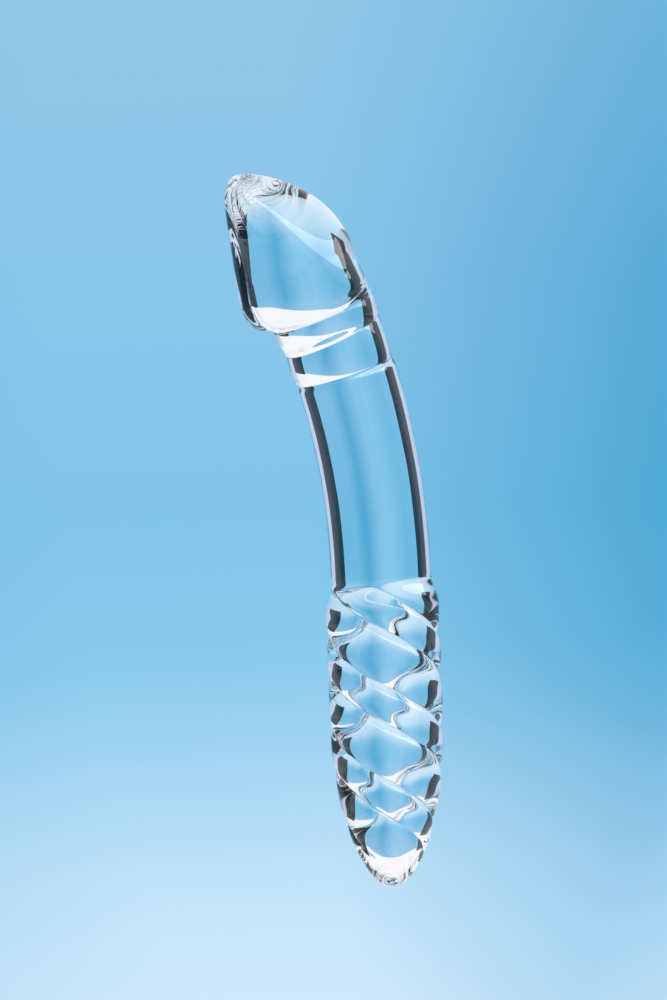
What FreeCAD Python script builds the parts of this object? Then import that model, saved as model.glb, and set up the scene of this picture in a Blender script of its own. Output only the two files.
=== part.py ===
import FreeCAD, Part
import math
import os

import Sketcher
from FreeCAD import Placement, Rotation, Vector

# A solid glass double-ended massager: twisted-rib handle, bent shaft, ringed neck and
# rounded head. Everything is drawn from the handle's rounded end upwards. The handle's axis
# is +Z. The shaft bends towards -X, and the plane of the bend is turned a little about +Z, so
# that seen from the front, along +Y, the head leans to the left and towards the viewer. The
# hollow side of the bend is called the inner side here.

DRIVING_SIZES = {
    "tip_length": 48.0,  # height over which the handle's end swells to full width
    "pole_flat": 0.3,  # height by which the very end is flattened
    "tip_split": 30.0,  # height at which the tip gather is welded to the handle gather
    "handle_radius": 16.5,  # over the crests of the ribs
    "handle_height": 91.0,  # from the rounded end to the foot of the shaft
    "shoulder_height": 9.0,  # over which the ribs rise from the shaft
    "shoulder_tilt": 3.0,  # how much lower the ribs end on the side towards -X
    "rib_lead": 54.0,  # height of one full turn of a rib
    "rib_phase": 53.3,  # direction of the first groove at the rounded end, in degrees
    "wide_rib_angle": 108.0,  # share of half a turn that a wide rib takes, in degrees
    "rib_depth": 1.7,  # from a crest to the groove beside it
    "shaft_radius": 14.55,
    "bend_radius": 190.0,  # of the shaft's centre line
    "bend_turn": 30.0,  # of the bend's plane about the handle's axis, from -X towards -Y
    "shaft_angle": 18.1,  # turn of the bend along the shaft, in degrees
    "ring_angle": 3.3,  # turn of the bend along one neck ring, in degrees
    "ring_slant": 5.0,  # extra lean of the groove between the two rings, in degrees
    "lower_groove_radius": 14.0,
    "upper_groove_radius": 14.5,
    "neck_top_radius": 15.2,
    "ring_swell": 1.1,  # how far a ring stands out of its grooves
    "ring_offset": 0.4,  # how much more it stands out on the inner side
    "head_radius": 18.1,
    "head_length": 37.3,  # from the widest part of the rim to the nose
    "rim_height": 9.0,  # from the widest part of the rim down to its underside
    "rim_rise": 5.2,  # of the widest part above the top of the neck
    "rim_lift": 4.5,  # how much higher the rim is on the outer side of the bend
    "inner_lift": 2.0,  # how much higher the rim is at the cleft
    "rim_core_radius": 14.6,  # foot of the rim's underside, inside the neck
    "head_shift": 3.8,  # of the rim's centre towards the inner side
    "crown_hump": 2.0,  # swelling of the crown away from the inner side
    "nose_drop": 4.9,  # lean of the nose towards the inner side
    "lobe_droop": 2.0,  # how much lower the rim hangs at its two sides
    "cleft_depth": 1.6,  # notch between the two lobes of the rim
    "cleft_angle": 9.0,  # half width of the notch, in degrees
}

doc = FreeCAD.newDocument("massager")


def add_sheet():
    sheet = doc.addObject("Spreadsheet::Sheet", "sizes")
    for row, (alias, value) in enumerate(DRIVING_SIZES.items(), start=1):
        sheet.set(f"A{row}", alias)
        sheet.set(f"B{row}", str(value))
        sheet.setAlias(f"B{row}", alias)
    doc.recompute()
    return sheet


sizes = add_sheet()


def smooth_step(x):
    x = min(max(x, 0.0), 1.0)
    return x * x * (3 - 2 * x)


# ---------------------------------------------------------------- twisted handle and its tip

NARROW, WIDE = 0, 1
RIB_POWER = 3.6  # roundness of a rib between its two grooves
TIP_POWER = 0.55  # 0.5 would make the tip half an ellipsoid
RIB_FADE_FROM = 6.0  # the ribs run out between these two heights
RIB_FADE_TO = 28.0
POINTS_ON_A_RIB = 11


def tip_swell(height):
    """Width of the handle's envelope at a height, as a share of its full width."""
    left = max(1 - (height + sizes.pole_flat) / sizes.tip_length, 0.0)
    return (1 - left**2) ** TIP_POWER


def handle_point(height, kind, along, first_groove):
    """A point on a rib at a height. along runs from -1 to 1, from groove to groove."""
    rib_angle = sizes.wide_rib_angle if kind == WIDE else 180 - sizes.wide_rib_angle
    twist = 360 * height / sizes.rib_lead
    angle = math.radians(first_groove + rib_angle * (along + 1) / 2 - twist)
    fade = smooth_step((height - RIB_FADE_FROM) / (RIB_FADE_TO - RIB_FADE_FROM))
    ribbed = sizes.handle_radius * tip_swell(height)
    ribbed -= sizes.rib_depth * fade * abs(along) ** RIB_POWER
    shoulder_top = sizes.handle_height - sizes.shoulder_tilt * (1 - math.cos(angle)) / 2
    rise = smooth_step((shoulder_top - height) / sizes.shoulder_height)
    radius = sizes.shaft_radius * (1 - rise) + ribbed * rise
    return Vector(radius * math.cos(angle), radius * math.sin(angle), height)


def handle_section(height):
    """The closed outline of the handle at a height: narrow, wide, narrow and wide rib."""
    edges = []
    groove = sizes.rib_phase
    for kind in (NARROW, WIDE, NARROW, WIDE):
        steps = [2 * i / (POINTS_ON_A_RIB - 1) - 1 for i in range(POINTS_ON_A_RIB)]
        curve = Part.BSplineCurve()
        curve.interpolate([handle_point(height, kind, along, groove) for along in steps])
        edges.append(curve.toShape())
        groove += sizes.wide_rib_angle if kind == WIDE else 180 - sizes.wide_rib_angle
    return Part.Wire(edges)


def add_handle_stretch(label, heights):
    """The handle between the first and last of some heights, with its twist."""
    stretch = doc.addObject("Part::Feature", label)
    stretch.Shape = Part.makeLoft([handle_section(height) for height in heights], True)
    return stretch


def even_shares(count):
    return [i / count for i in range(count + 1)]


def heights_between(low, high, shares):
    return [low + (high - low) * share for share in shares]


SECTIONS_UP_THE_TIP = 18
TIP_CROWDING = 1.4  # above 1, the sections crowd together towards the rounded end
SECTIONS_UP_THE_HANDLE = 18
SECTIONS_UP_THE_SHOULDER = 8

tip_shares = [share**TIP_CROWDING for share in even_shares(SECTIONS_UP_THE_TIP)]
shoulder_start = sizes.handle_height - sizes.shoulder_height - sizes.shoulder_tilt
handle_heights = heights_between(
    sizes.tip_split, shoulder_start, even_shares(SECTIONS_UP_THE_HANDLE)
)
handle_heights += heights_between(
    shoulder_start, sizes.handle_height, even_shares(SECTIONS_UP_THE_SHOULDER)[1:]
)

handle_tip = add_handle_stretch("handle_tip", heights_between(0, sizes.tip_split, tip_shares))
handle = add_handle_stretch("handle", handle_heights)

# ------------------------------------------------------------------ bent shaft and neck rings


def origin_feature(body, role):
    return next(f for f in body.Origin.OriginFeatures if f.Role == role)


def add_bent_body(label):
    """A body whose own origin is the centre of the bend, level with the shaft's foot."""
    body = doc.addObject("PartDesign::Body", label)
    body.setExpression("Placement.Base.x", "-sizes.bend_radius * cos(sizes.bend_turn * 1 deg)")
    body.setExpression("Placement.Base.y", "-sizes.bend_radius * sin(sizes.bend_turn * 1 deg)")
    body.setExpression("Placement.Base.z", "sizes.handle_height")
    body.setExpression("Placement.Rotation.Angle", "sizes.bend_turn * 1 deg")
    return body


def add_circle_section(body, name, angle, tilt, radius, shift="0"):
    """A circle across the bend, whose place, lean, radius and shift are expressions."""
    sketch = body.newObject("Sketcher::SketchObject", name)
    sketch.AttachmentSupport = (origin_feature(body, "XY_Plane"), [""])
    sketch.MapMode = "FlatFace"
    sketch.AttachmentOffset = Placement(Vector(), Rotation(Vector(0, -1, 0), 1))
    sketch.setExpression("AttachmentOffset.Rotation.Angle", f"({tilt}) * 1 deg")
    sketch.setExpression("AttachmentOffset.Base.x", f"sizes.bend_radius * cos(({angle}) * 1 deg)")
    sketch.setExpression("AttachmentOffset.Base.z", f"sizes.bend_radius * sin(({angle}) * 1 deg)")
    circle = sketch.addGeometry(Part.Circle(Vector(), Vector(0, 0, 1), 10), False)
    size = sketch.addConstraint(Sketcher.Constraint("Radius", circle, 10))
    offset = sketch.addConstraint(Sketcher.Constraint("DistanceX", -1, 1, circle, 3, 0))
    sketch.addConstraint(Sketcher.Constraint("PointOnObject", circle, 3, -1))
    sketch.setExpression(f"Constraints[{size}]", radius)
    sketch.setExpression(f"Constraints[{offset}]", shift)
    return sketch


def add_shaft():
    body = add_bent_body("shaft")
    sketch = body.newObject("Sketcher::SketchObject", "shaft_section")
    sketch.AttachmentSupport = (origin_feature(body, "XY_Plane"), [""])
    sketch.MapMode = "FlatFace"
    circle = sketch.addGeometry(Part.Circle(Vector(100, 0, 0), Vector(0, 0, 1), 10), False)
    radius = sketch.addConstraint(Sketcher.Constraint("Radius", circle, 10))
    reach = sketch.addConstraint(Sketcher.Constraint("DistanceX", -1, 1, circle, 3, 100))
    sketch.addConstraint(Sketcher.Constraint("PointOnObject", circle, 3, -1))
    sketch.setExpression(f"Constraints[{radius}]", "sizes.shaft_radius")
    sketch.setExpression(f"Constraints[{reach}]", "sizes.bend_radius")
    bend = body.newObject("PartDesign::Revolution", "shaft_bend")
    bend.Profile = sketch
    bend.ReferenceAxis = (sketch, ["V_Axis"])
    bend.Reversed = True
    bend.setExpression("Angle", "sizes.shaft_angle")
    return body


def add_neck_ring(label, ring, foot_radius, top_radius, leans):
    """One swollen ring. leans are the shares of the slant at its four sections."""
    body = add_bent_body(label)
    sections = []
    for share, swell, lean in zip(RING_HEIGHTS, RING_SWELLS, leans):
        angle = f"sizes.shaft_angle + {ring + share} * sizes.ring_angle"
        tilt = f"{angle} + {lean} * sizes.ring_slant"
        radius = f"{foot_radius} * {1 - share} + {top_radius} * {share} + {swell} * sizes.ring_swell"
        shift = f"-{swell} * sizes.ring_offset"
        name = f"{label}_section_{len(sections)}"
        sections.append(add_circle_section(body, name, angle, tilt, radius, shift))
    loft = body.newObject("PartDesign::AdditiveLoft", f"{label}_loft")
    loft.Profile = sections[0]
    loft.Sections = sections[1:]
    return body


RING_HEIGHTS = (0, 0.2, 0.6, 1)  # of a ring's sections, as shares of its length
RING_SWELLS = (0, 1, 0.7, 0)  # a ring is fullest just above its lower groove
LEANS_TO_THE_GROOVE = (0, 0.1, 0.65, 1)
LEANS_FROM_THE_GROOVE = (1, 0.9, 0.35, 0)

shaft = add_shaft()
neck_ring_lower = add_neck_ring(
    "neck_ring_lower", 0, "sizes.lower_groove_radius", "sizes.upper_groove_radius",
    LEANS_TO_THE_GROOVE,
)
neck_ring_upper = add_neck_ring(
    "neck_ring_upper", 1, "sizes.upper_groove_radius", "sizes.neck_top_radius",
    LEANS_FROM_THE_GROOVE,
)

# ------------------------------------------------------------------------------ rounded head

# The head is drawn on its own axis from the top of the neck. Its outline is followed by an
# angle, called its latitude: -90 at the foot of the rim's underside, 0 at the widest part of
# the rim and 90 at the nose.
LATITUDES = [-90, -82, -65, -45, -28, -12, 0, 10, 20, 30, 40, 50, 59, 67, 74, 80, 85, 88]
POINTS_ROUND_THE_HEAD = 72
RISE_POWER = 1.1  # with both powers at 1, the crown would be half an ellipsoid
WIDTH_POWER = 1.22
RIM_POWER = 0.8  # roundness of the rim's underside
FOOT_COSINE = 0.139  # of the latitude where the underside comes out of the neck
OUTER_LIFT_POWER = 1.5  # how closely each lift of the rim keeps to its own side
INNER_LIFT_POWER = 5
CLEFT_END = 0.75  # share of the crown's height at which the cleft has run out
CLEFT_FADE = 0.5


def head_point(latitude, direction):
    sine = abs(math.sin(latitude))
    cosine = math.cos(latitude)
    outward = math.cos(direction)
    spread = 1
    if latitude > 0:
        rise = sizes.head_length * sine**RISE_POWER
        radius = sizes.head_radius * cosine**WIDTH_POWER
    else:
        rise = -sizes.rim_height * sine
        spread = cosine**RIM_POWER
        radius = sizes.rim_core_radius
        radius += (sizes.head_radius - sizes.rim_core_radius) * spread
    share = max(rise, 0) / sizes.head_length
    shift = sizes.crown_hump * math.sin(math.pi * share) - sizes.nose_drop * share**3
    shift -= sizes.head_shift * spread
    lift = sizes.rim_lift * ((1 + outward) / 2) ** OUTER_LIFT_POWER
    lift += sizes.inner_lift * ((1 - outward) / 2) ** INNER_LIFT_POWER
    lift *= min(cosine / FOOT_COSINE, 1)
    lift -= sizes.lobe_droop * spread * math.sin(direction) ** 2
    from_cleft = abs(math.degrees(direction) - 180) / sizes.cleft_angle
    cleft = sizes.cleft_depth * math.exp(-(from_cleft**2)) * math.sqrt(cosine)
    radius -= cleft * smooth_step((CLEFT_END - share) / CLEFT_FADE)
    x = radius * outward + shift
    y = radius * math.sin(direction)
    return Vector(x, y, sizes.rim_rise + rise + lift * (1 - share) ** 3)


def head_section(latitude):
    step = 2 * math.pi / POINTS_ROUND_THE_HEAD
    points = [head_point(latitude, step * i) for i in range(POINTS_ROUND_THE_HEAD)]
    curve = Part.BSplineCurve()
    curve.interpolate(points, PeriodicFlag=True)
    return Part.Wire(curve.toShape())


def add_head():
    """The head, cut out where it sits over the upper ring."""
    sections = [head_section(math.radians(latitude)) for latitude in LATITUDES]
    sections.append(Part.Vertex(head_point(math.pi / 2, 0)))
    neck_top = math.radians(sizes.shaft_angle + 2 * sizes.ring_angle)
    place = Vector(
        sizes.bend_radius * (math.cos(neck_top) - 1),
        0,
        sizes.handle_height + sizes.bend_radius * math.sin(neck_top),
    )
    form = doc.addObject("Part::Feature", "head_form")
    form.Shape = Part.makeLoft(sections, True)
    lean = Placement(place, Rotation(Vector(0, -1, 0), math.degrees(neck_top)))
    turn = Placement(Vector(), Rotation(Vector(0, 0, 1), sizes.bend_turn))
    form.Placement = turn * lean
    head = doc.addObject("Part::Cut", "head")
    head.Base = form
    head.Tool = neck_ring_upper
    return head


doc.recompute()
head = add_head()
doc.recompute()

# ------------------------------------------------------------------------------------ export

for item in doc.Objects:
    if "Invalid" in item.State or "Error" in item.State:
        raise RuntimeError(f"{item.Label} failed: {item.State}")

os.makedirs("parts", exist_ok=True)
for piece in (handle_tip, handle, shaft, neck_ring_lower, neck_ring_upper, head):
    shape = piece.Shape
    if shape.isNull() or not shape.isValid() or len(shape.Solids) != 1:
        raise RuntimeError(f"{piece.Label} is not one valid solid")
    box = shape.BoundBox
    print(f"{piece.Label}: {shape.Volume:.0f} mm3, z {box.ZMin:.2f} to {box.ZMax:.2f}")
    shape.exportStep(f"parts/{piece.Label}.step")
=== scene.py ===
import math

import bpy
from mathutils import Matrix, Vector


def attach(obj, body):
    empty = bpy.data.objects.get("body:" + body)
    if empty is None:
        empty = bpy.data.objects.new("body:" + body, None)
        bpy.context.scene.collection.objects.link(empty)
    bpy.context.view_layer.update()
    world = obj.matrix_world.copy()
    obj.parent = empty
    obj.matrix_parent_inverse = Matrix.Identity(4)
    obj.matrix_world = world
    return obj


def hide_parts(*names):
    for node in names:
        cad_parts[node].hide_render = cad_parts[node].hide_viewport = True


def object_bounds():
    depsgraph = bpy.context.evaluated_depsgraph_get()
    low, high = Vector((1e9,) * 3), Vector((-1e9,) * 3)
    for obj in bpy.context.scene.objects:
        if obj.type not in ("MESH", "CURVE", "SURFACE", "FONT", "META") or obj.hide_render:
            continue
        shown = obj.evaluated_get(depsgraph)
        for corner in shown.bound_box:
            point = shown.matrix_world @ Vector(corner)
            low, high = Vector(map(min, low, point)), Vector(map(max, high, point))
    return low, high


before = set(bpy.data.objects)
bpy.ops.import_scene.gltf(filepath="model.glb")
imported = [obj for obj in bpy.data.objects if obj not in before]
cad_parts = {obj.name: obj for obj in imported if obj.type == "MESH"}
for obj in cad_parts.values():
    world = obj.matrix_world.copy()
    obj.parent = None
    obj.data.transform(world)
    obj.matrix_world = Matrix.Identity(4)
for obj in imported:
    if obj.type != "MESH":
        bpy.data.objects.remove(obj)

CAD_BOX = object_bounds()
MILLIMETRE = 0.001

# Sizes of the glass, in millimetres and degrees, from the rounded end of the handle upwards.
GLASS_SIZES = {
    "tip_length": 48.0,
    "handle_radius": 16.5,
    "handle_height": 91.0,
    "shoulder_height": 9.0,
    "shoulder_tilt": 3.0,
    "rib_lead": 54.0,
    "rib_phase": 53.3,
    "wide_rib_angle": 108.0,
    "rib_depth": 1.7,
    "shaft_radius": 14.55,
    "shaft_length": 60.0,
    "bend_radius": 190.0,
    "bend_turn": 30.0,
    "ring_length": 11.0,
    "ring_slant": 5.0,
    "lower_groove_radius": 14.0,
    "upper_groove_radius": 14.5,
    "neck_top_radius": 15.2,
    "ring_swell": 1.1,
    "head_radius": 18.1,
    "head_length": 37.3,
    "rim_height": 9.0,
    "rim_rise": 5.2,
    "rim_lift": 4.5,
    "inner_lift": 2.0,
    "head_shift": 3.8,
    "crown_hump": 2.0,
    "nose_drop": 4.9,
    "lobe_droop": 2.0,
    "cleft_depth": 1.6,
    "cleft_angle": 9.0,
}

# How the surface eases between those sizes.
TIP_POWER = 0.55  # the rounded end; 0.5 is an ellipse and more is slimmer
RIBS_RISE_FROM, RIBS_RISE_TO = 6.0, 28.0  # heights above the end, in millimetres
RIB_POWER = 3.6  # broad crests with narrow grooves between them
NARROWING_FROM = 0.965  # share of the shaft where it narrows into the lower groove
RING_RISE_POWER = 0.5
LOWER_RING_FALL, LOWER_RING_GAIN = 0.8, 1.75
UPPER_RING_FALL, UPPER_RING_GAIN = 0.6, 1.6
RING_SIDE, RING_SIDE_CHANGE = 0.62, 0.38  # the rings swell more on the inner side of the bend
CROWN_TURN = 1.562  # radians, just short of the pole
NOSE_POWER = 1.1
WIDTH_POWER = 1.22
UNDER_RIM_POWER = 0.8
OUTER_LIFT_POWER = 1.5
INNER_LIFT_POWER = 5.0
CLEFT_EDGE_POWER = 0.5
CLEFT_FADES_FROM, CLEFT_FADES_TO = 0.25, 0.75  # shares of the head's length
HANDLE_SPACING_POWER = 1.2  # closer rings of faces at the rounded end
END_GAP = 0.02  # the small flat at the pole is this far up, in millimetres
HEAD_BLEND = 0.15  # share of the rim over which the neck turns into the head

# Each stretch of the glass and its share of the rings of faces along the piece.
STRETCHES = {
    "handle": 0.40,
    "shaft": 0.16,
    "lower_ring": 0.11,
    "upper_ring": 0.11,
    "rim": 0.06,
    "crown": 0.16,
}
FACES_ALONG = 600
FACES_AROUND = 160  # a whole number of them fits between any two grooves
SEAM_TURN = 0.001  # degrees, so that no corner lies right on the seam of the turn
END_REACH = 0.25  # squared; only the middles of the tube's two ends lie within it


# ---------------------------------------------------------------------------- node writing


def add_node(tree, kind, settings=None, values=None):
    """Adds a node, sets it up, then fills or links its input sockets."""
    node = tree.nodes.new(kind)
    for name, setting in (settings or {}).items():
        setattr(node, name, setting)
    for key, value in (values or {}).items():
        socket = node.inputs[key]
        source = value.socket if isinstance(value, Number) else value
        if isinstance(source, bpy.types.NodeSocket):
            tree.links.new(source, socket)
        else:
            socket.default_value = source
    return node


class Number:
    """A number in a node tree. Python's operators on it add Math nodes."""

    def __init__(self, tree, socket):
        self.tree = tree
        self.socket = socket

    def math(self, operation, *others, first=None):
        operands = [self if first is None else first, *others]
        if first is not None:
            operands.append(self)
        node = add_node(
            self.tree, "ShaderNodeMath", {"operation": operation}, dict(enumerate(operands))
        )
        return Number(self.tree, node.outputs[0])

    def __add__(self, other):
        return self.math("ADD", other)

    def __sub__(self, other):
        return self.math("SUBTRACT", other)

    def __rsub__(self, other):
        return self.math("SUBTRACT", first=other)

    def __mul__(self, other):
        return self.math("MULTIPLY", other)

    def __rmul__(self, other):
        return self.math("MULTIPLY", first=other)

    def __truediv__(self, other):
        return self.math("DIVIDE", other)

    def __pow__(self, other):
        return self.math("POWER", other)

    def __neg__(self):
        return self.math("MULTIPLY", -1.0)

    def __abs__(self):
        return self.math("ABSOLUTE")

    def __mod__(self, other):
        return self.math("FLOORED_MODULO", other)

    def __gt__(self, other):
        return self.math("GREATER_THAN", other)

    def __lt__(self, other):
        return self.math("LESS_THAN", other)

    def sin(self):
        return self.math("SINE")

    def cos(self):
        return self.math("COSINE")

    def ramp(self, low, high, smooth=False):
        """0 below low and 1 above high, with a straight or a smooth way between."""
        settings = {"interpolation_type": "SMOOTHSTEP" if smooth else "LINEAR", "clamp": True}
        values = {"Value": self, "From Min": low, "From Max": high}
        node = add_node(self.tree, "ShaderNodeMapRange", settings, values)
        return Number(self.tree, node.outputs["Result"])


def pick(where, inside, outside):
    """inside where the mask is 1, outside where it is 0."""
    return outside + where * (inside - outside)


def separate(tree, vector):
    node = add_node(tree, "ShaderNodeSeparateXYZ", values={"Vector": vector})
    return [Number(tree, output) for output in node.outputs]


def combine(tree, x, y, z):
    node = add_node(tree, "ShaderNodeCombineXYZ", values={"X": x, "Y": y, "Z": z})
    return node.outputs["Vector"]


# ------------------------------------------------------------------------ shape of the glass


def stretch_shares(along):
    """How far along each stretch a ring of faces is, from 0 to 1."""
    shares = {}
    start = 0.0
    for name, part in STRETCHES.items():
        shares[name] = along.ramp(start, start + part)
        start += part
    return shares


def rib_drop(turn, wide_angle):
    """0 on a rib's crest and 1 in the grooves beside it. turn is in degrees."""
    narrow_angle = 180.0 - wide_angle
    half_turn = turn % 180.0
    across_narrow = abs(half_turn / narrow_angle * 2.0 - 1.0)
    across_wide = abs((half_turn - narrow_angle) / wide_angle * 2.0 - 1.0)
    across = pick(half_turn < narrow_angle, across_narrow, across_wide)
    return across**RIB_POWER


def ring_bulge(share, fall, gain):
    """A ring's profile: it swells just above its lower groove, then eases off."""
    return share**RING_RISE_POWER * (1.0 - share) ** fall * gain


def body_radius(size, shares, height, turn, outward, rightward):
    """Distance of the surface from the centre line, up to the top of the neck."""
    from_tip = (height / size["tip_length"]).ramp(0.0, 1.0)
    ribbed = size["handle_radius"] * (1.0 - (1.0 - from_tip) ** 2.0) ** TIP_POWER
    drop = rib_drop(turn, size["wide_rib_angle"])
    drop = drop * height.ramp(RIBS_RISE_FROM, RIBS_RISE_TO, smooth=True)
    ribbed = ribbed - size["rib_depth"] * drop
    shoulder = size["handle_height"] - size["shoulder_tilt"] * (0.5 - rightward * 0.5)
    above = (shoulder - height) / size["shoulder_height"]
    rise = above.ramp(0.0, 1.0, smooth=True)
    handle = pick(rise, ribbed, size["shaft_radius"])
    narrowing = size["shaft_radius"] - size["lower_groove_radius"]
    narrowing = narrowing * shares["shaft"].ramp(NARROWING_FROM, 1.0, smooth=True)
    lower, upper = shares["lower_ring"], shares["upper_ring"]
    neck = (size["upper_groove_radius"] - size["lower_groove_radius"]) * lower
    neck = neck + (size["neck_top_radius"] - size["upper_groove_radius"]) * upper
    bulges = ring_bulge(lower, LOWER_RING_FALL, LOWER_RING_GAIN)
    bulges = bulges + ring_bulge(upper, UPPER_RING_FALL, UPPER_RING_GAIN)
    side = RING_SIDE - RING_SIDE_CHANGE * outward
    return handle - narrowing + neck + size["ring_swell"] * side * bulges


def head_profile(size, shares, outward, sideways):
    """Height over the top of the neck, radius and shift of the head's outline."""
    latitude = shares["crown"] * CROWN_TURN + (shares["rim"] - 1.0) * (math.pi / 2)
    sine, cosine = abs(latitude.sin()), abs(latitude.cos())
    crown = shares["crown"] > 0.0
    rise = pick(crown, size["head_length"] * sine**NOSE_POWER, -(size["rim_height"] * sine))
    root = size["neck_top_radius"]
    spread = pick(crown, 1.0, cosine**UNDER_RIM_POWER)
    under = root + (size["head_radius"] - root) * spread
    radius = pick(crown, size["head_radius"] * cosine**WIDTH_POWER, under)
    share = (rise / size["head_length"]).ramp(0.0, 1.0)
    shift = size["crown_hump"] * (share * math.pi).sin() - size["nose_drop"] * share**3.0
    shift = shift - size["head_shift"] * spread
    lift = size["rim_lift"] * (outward * 0.5 + 0.5) ** OUTER_LIFT_POWER
    lift = lift + size["inner_lift"] * (0.5 - outward * 0.5) ** INNER_LIFT_POWER
    level = lift - size["lobe_droop"] * spread * sideways * sideways
    level = size["rim_rise"] + level * (1.0 - share) ** 3.0
    from_cleft = (-outward).math("ARCCOSINE").math("DEGREES") / size["cleft_angle"]
    cleft = size["cleft_depth"] * (from_cleft * from_cleft * -1.0).math("EXPONENT")
    fade = share.ramp(CLEFT_FADES_FROM, CLEFT_FADES_TO, smooth=True)
    cleft = cleft * cosine**CLEFT_EDGE_POWER * (1.0 - fade)
    return level + rise, radius - cleft, shift


def glass_position(tree, size, along, turn, reach):
    """Where a point of a plain tube goes. turn is its direction round the tube in degrees."""
    shares = stretch_shares(along)
    height = size["handle_height"] * shares["handle"] ** HANDLE_SPACING_POWER
    height = height + END_GAP * (1.0 - shares["handle"])
    last_ring = size["ring_length"] - size["rim_height"] + size["rim_rise"]
    past_handle = (
        size["shaft_length"] * shares["shaft"]
        + size["ring_length"] * shares["lower_ring"]
        + last_ring * shares["upper_ring"]
    )
    twist = 360.0 * height / size["rib_lead"]
    direction = (turn + size["rib_phase"] - size["bend_turn"] - twist).math("RADIANS")
    outward, sideways = direction.cos(), direction.sin()

    bend = past_handle / size["bend_radius"]
    groove = (shares["lower_ring"] * (math.pi / 2)).sin() ** 2.0
    groove = groove - (shares["upper_ring"] * (math.pi / 2)).sin() ** 2.0
    lean = bend + (size["ring_slant"] * groove).math("RADIANS")
    rightward = (turn + size["rib_phase"] - twist).math("RADIANS").cos()
    radius = reach * body_radius(size, shares, height, turn, outward, rightward)
    body_out = size["bend_radius"] * (bend.cos() - 1.0) + lean.cos() * radius * outward
    body_up = height + size["bend_radius"] * bend.sin() + lean.sin() * radius * outward
    body_side = radius * sideways

    top = (size["shaft_length"] + size["ring_length"] * 2.0) / size["bend_radius"]
    rise, head_radius, shift = head_profile(size, shares, outward, sideways)
    from_axis = reach * head_radius * outward + shift
    head_out = size["bend_radius"] * (top.cos() - 1.0) - top.sin() * rise + top.cos() * from_axis
    head_up = size["handle_height"] + size["bend_radius"] * top.sin()
    head_up = head_up + top.cos() * rise + top.sin() * from_axis
    head_side = reach * head_radius * sideways

    on_head = shares["rim"].ramp(0.0, HEAD_BLEND, smooth=True)
    out = pick(on_head, head_out, body_out)
    side = pick(on_head, head_side, body_side)
    up = pick(on_head, head_up, body_up)
    heading = size["bend_turn"].math("RADIANS")
    x = out * heading.cos() - side * heading.sin()
    y = out * heading.sin() + side * heading.cos()
    return combine(tree, x * MILLIMETRE, y * MILLIMETRE, up * MILLIMETRE)


def glass_tree(material):
    """Bends, twists and swells a plain closed tube into the glass piece."""
    tree = bpy.data.node_groups.new("blown_glass", "GeometryNodeTree")
    interface = tree.interface
    interface.new_socket("Geometry", in_out="OUTPUT", socket_type="NodeSocketGeometry")
    for name in GLASS_SIZES:
        interface.new_socket(name, in_out="INPUT", socket_type="NodeSocketFloat")
    group_input = add_node(tree, "NodeGroupInput")
    size = {name: Number(tree, group_input.outputs[name]) for name in GLASS_SIZES}
    tube = add_node(
        tree,
        "GeometryNodeMeshCylinder",
        {"fill_type": "TRIANGLE_FAN"},
        {"Vertices": FACES_AROUND, "Side Segments": FACES_ALONG, "Radius": 1.0, "Depth": 1.0},
    )
    place = add_node(tree, "GeometryNodeInputPosition").outputs["Position"]
    x, y, z = separate(tree, place)
    turn = y.math("ARCTAN2", x).math("DEGREES") + SEAM_TURN
    reach = (x * x + y * y) > END_REACH
    place = glass_position(tree, size, z + 0.5, turn, reach)
    shaped = add_node(
        tree,
        "GeometryNodeSetPosition",
        values={"Geometry": tube.outputs["Mesh"], "Position": place},
    )
    smooth = add_node(
        tree, "GeometryNodeSetShadeSmooth", values={"Geometry": shaped.outputs["Geometry"]}
    )
    real = add_node(
        tree, "GeometryNodeRealizeInstances", values={"Geometry": smooth.outputs["Geometry"]}
    )
    finished = add_node(
        tree,
        "GeometryNodeSetMaterial",
        values={"Geometry": real.outputs["Geometry"], "Material": material},
    )
    add_node(tree, "NodeGroupOutput", values={"Geometry": finished.outputs["Geometry"]})
    return tree


def make_glass(material):
    """The whole piece as one closed skin of glass."""
    piece = bpy.data.objects.new("clear_glass_body", bpy.data.meshes.new("clear_glass_body"))
    bpy.context.scene.collection.objects.link(piece)
    modifier = piece.modifiers.new("blown_glass", "NODES")
    modifier.node_group = glass_tree(material)
    for item in modifier.node_group.interface.items_tree:
        if item.in_out == "INPUT":
            modifier[item.identifier] = GLASS_SIZES[item.name]
    evaluated = piece.evaluated_get(bpy.context.evaluated_depsgraph_get())
    mesh = bpy.data.meshes.new_from_object(evaluated)
    piece.modifiers.remove(modifier)
    piece.data = mesh
    return piece


# --------------------------------------------------------------------------------- materials


def clear_glass():
    material = bpy.data.materials.new("clear_borosilicate_glass")
    material.use_nodes = True
    tree = material.node_tree
    shader = tree.nodes["Principled BSDF"]
    shader.inputs["Base Color"].default_value = (1.0, 1.0, 1.0, 1.0)
    shader.inputs["IOR"].default_value = 1.47
    shader.inputs["Transmission Weight"].default_value = 1.0
    place = add_node(tree, "ShaderNodeTexCoord").outputs["Object"]
    drawn_out = add_node(
        tree, "ShaderNodeMapping", values={"Vector": place, "Scale": (1.0, 1.0, 0.12)}
    )
    cords = add_node(
        tree,
        "ShaderNodeTexNoise",
        values={"Vector": drawn_out.outputs["Vector"], "Scale": 260.0, "Detail": 1.0},
    )
    bump = add_node(
        tree,
        "ShaderNodeBump",
        values={"Height": cords.outputs["Fac"], "Strength": 0.06, "Distance": 0.0006},
    )
    tree.links.new(bump.outputs["Normal"], shader.inputs["Normal"])
    handling = add_node(
        tree, "ShaderNodeTexNoise", values={"Vector": place, "Scale": 90.0, "Detail": 3.0}
    )
    smear = Number(tree, handling.outputs["Fac"]).ramp(0.55, 0.8, smooth=True)
    tree.links.new((smear * 0.03).socket, shader.inputs["Roughness"])
    return material


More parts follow.
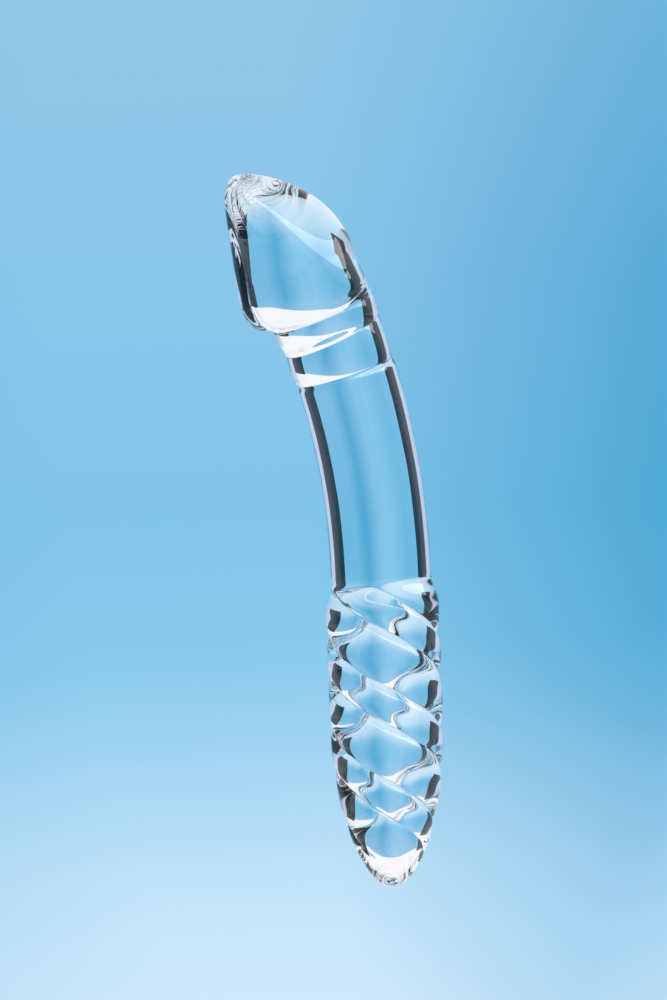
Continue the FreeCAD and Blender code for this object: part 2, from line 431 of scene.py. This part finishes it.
def glow(name, colour, strength=1.0):
    """An even light of its own, for the panels of the studio."""
    material = bpy.data.materials.new(name)
    material.use_nodes = True
    tree = material.node_tree
    tree.nodes.clear()
    emission = add_node(
        tree, "ShaderNodeEmission", values={"Color": (*colour, 1.0), "Strength": strength}
    )
    add_node(tree, "ShaderNodeOutputMaterial", values={"Surface": emission.outputs["Emission"]})
    return material


def linear(red, green, blue):
    """A display colour, 0 to 255, as scene light."""
    channels = (red / 255, green / 255, blue / 255)
    return tuple(c / 12.92 if c <= 0.04045 else ((c + 0.055) / 1.055) ** 2.4 for c in channels)


# ------------------------------------------------------------------------------------- stage

CENTRE = (CAD_BOX[0] + CAD_BOX[1]) / 2
SWEEP_RADIUS = 3.0
SWEEP_HEIGHT = 3.6
FLOOR_RADIUS = 1.2
FLOOR_DEPTH = 0.15  # the piece is held in the air this far above the floor


def add_camera():
    data = bpy.data.cameras.new("camera")
    data.lens = 100.0
    data.clip_start = 0.01
    camera = bpy.data.objects.new("camera", data)
    bpy.context.scene.collection.objects.link(camera)
    bpy.context.scene.camera = camera
    camera.location = (-0.0129, -0.8056, 0.1129)
    camera.rotation_euler = (math.radians(90), math.radians(2.2), 0)
    return camera


# The sweep's glow by its angle above the piece, on its side with painted light and on its side
# with painted shade. It is pale at the floor and at the top as painted light, and blue at eye
# level.
SWEEP_COLOURS = (
    (-90, (250, 250, 252), (250, 250, 252)),
    (-35, (225, 240, 252), (205, 230, 247)),
    (-16, (199, 230, 251), (164, 211, 241)),
    (-12, (191, 226, 249), (149, 201, 233)),
    (-9, (174, 218, 245), (130, 191, 228)),
    (-6, (151, 207, 240), (100, 179, 219)),
    (-4, (138, 202, 237), (85, 172, 216)),
    (0, (130, 197, 234), (73, 167, 211)),
    (6, (137, 198, 235), (84, 168, 213)),
    (13, (147, 200, 234), (107, 179, 219)),
    (40, (190, 220, 240), (180, 215, 238)),
    (90, (235, 245, 252), (235, 245, 252)),
)


def add_colour_ramp(tree, place, stops):
    """Colours along a number that runs from 0 to 1."""
    node = add_node(tree, "ShaderNodeValToRGB", values={"Fac": place})
    elements = node.color_ramp.elements
    for index, (position, colour) in enumerate(stops):
        element = elements[index] if index < 2 else elements.new(1.0)
        element.position = position
        element.color = (*linear(*colour), 1.0)
    return node.outputs["Color"]


def sweep_material():
    """Glows blue with painted light: pale at the floor and blue at eye level, with a painted lit
    side and a painted shaded side, like a paper sweep lit from one side.
    """
    material = bpy.data.materials.new("blue_sweep_painted_light")
    material.use_nodes = True
    tree = material.node_tree
    tree.nodes.clear()
    place = add_node(tree, "ShaderNodeTexCoord").outputs["Object"]
    x, y, z = separate(tree, place)
    reach = (x * x + y * y).math("SQRT")
    elevation = (z - float(CENTRE.z)).math("ARCTAN2", reach).math("DEGREES").ramp(-90.0, 90.0)
    # Painted light and shade: the glow's colours by elevation, on the painted lit side and on
    # the painted shaded side.
    light = [((angle + 90) / 180, colour) for angle, colour, _ in SWEEP_COLOURS]
    painted_shade_stops = [((angle + 90) / 180, colour) for angle, _, colour in SWEEP_COLOURS]
    # Painted shade by heading: most of the darker glow falls a little right of behind the piece,
    # less far to the right and behind the viewer, and half of it far to the left.
    heading = x.math("ARCTAN2", y).math("DEGREES")
    far_right = heading.ramp(8.5, 18.0)
    far_left = (-heading).ramp(8.0, 20.0)
    behind_viewer = heading.ramp(100.0, 170.0)
    painted_shade_mix = heading.ramp(-1.0, 9.5) - far_right * 0.55 + far_left * 0.5
    painted_shade_mix = painted_shade_mix - behind_viewer * 0.3
    mixed = add_node(tree, "ShaderNodeMix", {"data_type": "RGBA"})
    for key, source in (
        ("Factor_Float", painted_shade_mix.socket),
        ("A_Color", add_colour_ramp(tree, elevation, light)),
        ("B_Color", add_colour_ramp(tree, elevation, painted_shade_stops)),
    ):
        socket = next(socket for socket in mixed.inputs if socket.identifier == key)
        tree.links.new(source, socket)
    colour = next(socket for socket in mixed.outputs if socket.identifier == "Result_Color")
    # The sweep is no lamp: its painted light and shade are given as its own glow.
    emission = add_node(tree, "ShaderNodeEmission", values={"Color": colour})
    add_node(tree, "ShaderNodeOutputMaterial", values={"Surface": emission.outputs["Emission"]})
    return material


def add_mesh(name, corners, faces, material):
    mesh = bpy.data.meshes.new(name)
    mesh.from_pydata(corners, [], faces)
    mesh.materials.append(material)
    piece = bpy.data.objects.new(name, mesh)
    bpy.context.scene.collection.objects.link(piece)
    return piece


def add_round(name, profile, material):
    """A skin round the upright axis, from its rings' radii and heights."""
    steps = 64
    corners = []
    for outwards, height in profile:
        for step in range(steps + 1):
            angle = math.radians(360 * step / steps)
            corners.append((outwards * math.sin(angle), -outwards * math.cos(angle), height))
    faces = []
    for ring in range(len(profile) - 1):
        for step in range(steps):
            low, high = ring * (steps + 1) + step, (ring + 1) * (steps + 1) + step
            faces.append((low, low + 1, high + 1, high))
    return add_mesh(name, corners, faces, material)


def add_sweep():
    """A flat floor that curves up into a round wall and a domed top."""
    steps = 24
    profile = [(0.0, -FLOOR_DEPTH), (FLOOR_RADIUS, -FLOOR_DEPTH)]
    for step in range(1, steps + 1):
        angle = math.radians(-90 + step * 180 / steps)
        outwards = SWEEP_RADIUS * math.cos(angle)
        if angle < 0:
            outwards = FLOOR_RADIUS + (SWEEP_RADIUS - FLOOR_RADIUS) * math.cos(angle)
        height = SWEEP_HEIGHT / 2 * (1 + math.sin(angle)) - FLOOR_DEPTH
        profile.append((outwards, height))
    add_round("sweep", profile, sweep_material())


def seen_only_in(panel, reflections=True, refractions=True):
    panel.visible_camera = False
    panel.visible_shadow = False
    panel.visible_glossy = reflections
    panel.visible_transmission = refractions


def add_panel(name, azimuth, elevation, distance, width, height, material):
    """A flat panel that faces the piece. Azimuth 0 is in front of it, 90 on its right."""
    a, e = math.radians(azimuth), math.radians(elevation)
    back = Vector((math.sin(a) * math.cos(e), -math.cos(a) * math.cos(e), math.sin(e)))
    turn = back.to_track_quat("Z", "Y").to_matrix().to_4x4()
    place = Matrix.Translation(CENTRE + back * distance) @ turn
    x, y = width / 2, height / 2
    flat = ((-x, -y, 0), (x, -y, 0), (x, y, 0), (-x, y, 0))
    return add_mesh(name, [place @ Vector(corner) for corner in flat], [(0, 1, 2, 3)], material)


def add_strip_light(material):
    """A long light above the viewer, from high on the left to lower on the right."""
    distance, steps = 1.2, 24
    left, right = -60, 105  # azimuths of its ends
    lower, upper, fall = 32, 62, 16  # elevations of its edges on the left, and their fall
    corners = []
    for step in range(steps + 1):
        share = step / steps
        heading = math.radians(left + (right - left) * share)
        for elevation in (lower - fall * share, upper - fall * share):
            height = CENTRE.z + distance * math.tan(math.radians(elevation))
            corners.append((distance * math.sin(heading), -distance * math.cos(heading), height))
    faces = [(2 * i, 2 * i + 2, 2 * i + 3, 2 * i + 1) for i in range(steps)]
    return add_mesh("strip_light", corners, faces, material)


# Black flags stand behind the glass and darken the inside of its edges, and the pale cards next
# to them show outside that. The blue flags nearer the viewer show in the ribs' edges.
FLAGS_BEHIND = ((221.5, 0.335), (137, 0.36))  # azimuth and width
FLAGS_IN_FRONT = ((312, 0.36), (5, 0.36), (85, 0.36))
FLAG_ELEVATION, FLAG_DISTANCE, FLAG_HEIGHT = -2, 1.0, 0.72
CARD_AZIMUTHS = (242, 118)
CARD_DISTANCE, CARD_WIDTH, CARD_HEIGHT = 1.1, 0.39, 1.2
TOP_LIGHT_RADIUS, TOP_LIGHT_EDGE = 1.6, 16  # the edge's elevation, in degrees


def add_flags(places, material):
    for azimuth, width in places:
        size = (FLAG_ELEVATION, FLAG_DISTANCE, width, FLAG_HEIGHT)
        seen_only_in(add_panel("flag", azimuth, *size, material), reflections=False)


def add_studio():
    add_sweep()
    add_flags(FLAGS_BEHIND, glow("dark_flag", (0.0, 0.0, 0.0)))
    add_flags(FLAGS_IN_FRONT, glow("side_flag", linear(70, 110, 150)))
    side = glow("side_card", linear(214, 212, 232))
    white = glow("white_ring", linear(250, 250, 253))
    softbox = glow("softbox", (1.0, 0.98, 0.95), 5.5)
    for azimuth in CARD_AZIMUTHS:
        size = (0, CARD_DISTANCE, CARD_WIDTH, CARD_HEIGHT)
        seen_only_in(add_panel("card", azimuth, *size, side))
    edge = CENTRE.z + TOP_LIGHT_RADIUS * math.tan(math.radians(TOP_LIGHT_EDGE))
    cone = [(TOP_LIGHT_RADIUS, edge), (0.0, CENTRE.z + TOP_LIGHT_RADIUS)]
    seen_only_in(add_round("top_light", cone, white))
    seen_only_in(add_strip_light(softbox), refractions=False)


def set_colours():
    scene = bpy.context.scene
    scene.view_settings.view_transform = "Standard"
    world = bpy.data.worlds.new("room")
    world.use_nodes = True
    background = world.node_tree.nodes["Background"]
    background.inputs["Color"].default_value = (*linear(120, 185, 225), 1.0)
    scene.world = world


add_camera()
set_colours()
add_studio()
glass = make_glass(clear_glass())
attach(glass, "root")
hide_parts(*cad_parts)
